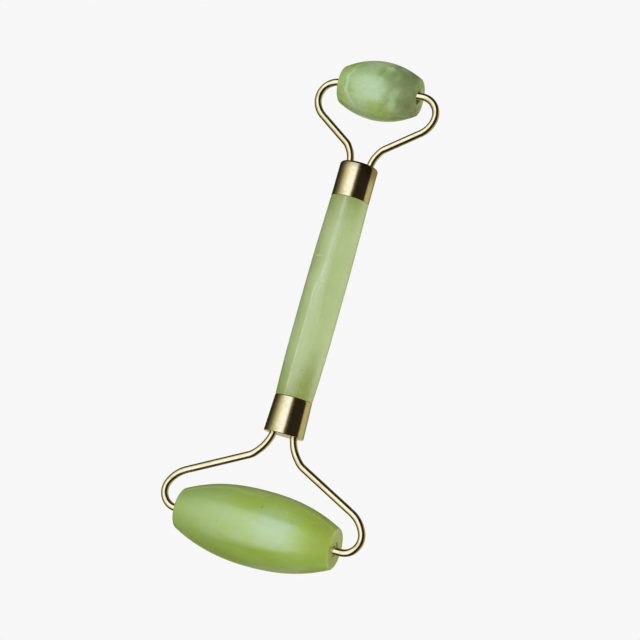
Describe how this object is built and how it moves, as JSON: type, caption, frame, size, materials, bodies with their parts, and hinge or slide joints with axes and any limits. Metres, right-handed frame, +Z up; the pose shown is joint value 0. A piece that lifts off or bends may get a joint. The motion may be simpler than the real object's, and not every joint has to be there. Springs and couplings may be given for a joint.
{
  "type": "jade face roller",
  "caption": "Double-ended face roller: a stone handle with brass caps and sprung wire yokes that hold a large and a small barrel-shaped stone roller.",
  "frame": {"origin": "under the middle of the tool, on the level surface that the large roller rests on", "axes": "+Y along the handle towards the small roller, +X along both roller axes, +Z up, square to the plane of the two wire yokes"},
  "size_m": [0.0604, 0.145, 0.0212],
  "materials": {
    "handle_jade": "polished",
    "large_roller_jade": "polished",
    "small_roller_jade": "polished",
    "cap_brass": "polished",
    "wire_brass": "polished",
    "resin": "gloss",
    "sleeve_nylon": "satin"
  },
  "bodies": {
    "handle": {"handle_stone": "handle_jade", "large_end_cap": "cap_brass", "small_end_cap": "cap_brass", "large_cap_resin": "resin", "small_cap_resin": "resin", "large_yoke_wire": "wire_brass", "small_yoke_wire": "wire_brass"},
    "large_roller": {"large_roller": "large_roller_jade", "large_roller_sleeve_left": "sleeve_nylon", "large_roller_sleeve_right": "sleeve_nylon"},
    "small_roller": {"small_roller": "small_roller_jade", "small_roller_sleeve_left": "sleeve_nylon", "small_roller_sleeve_right": "sleeve_nylon"}
  },
  "joints": [
    {"name": "large_roller_spin", "type": "hinge", "parent": "handle", "child": "large_roller", "pos_m": [0, -0.0619, 0.0106], "axis": [1, 0, 0], "continuous": true},
    {"name": "small_roller_spin", "type": "hinge", "parent": "handle", "child": "small_roller", "pos_m": [0, 0.0641, 0.0106], "axis": [1, 0, 0], "continuous": true}
  ]
}
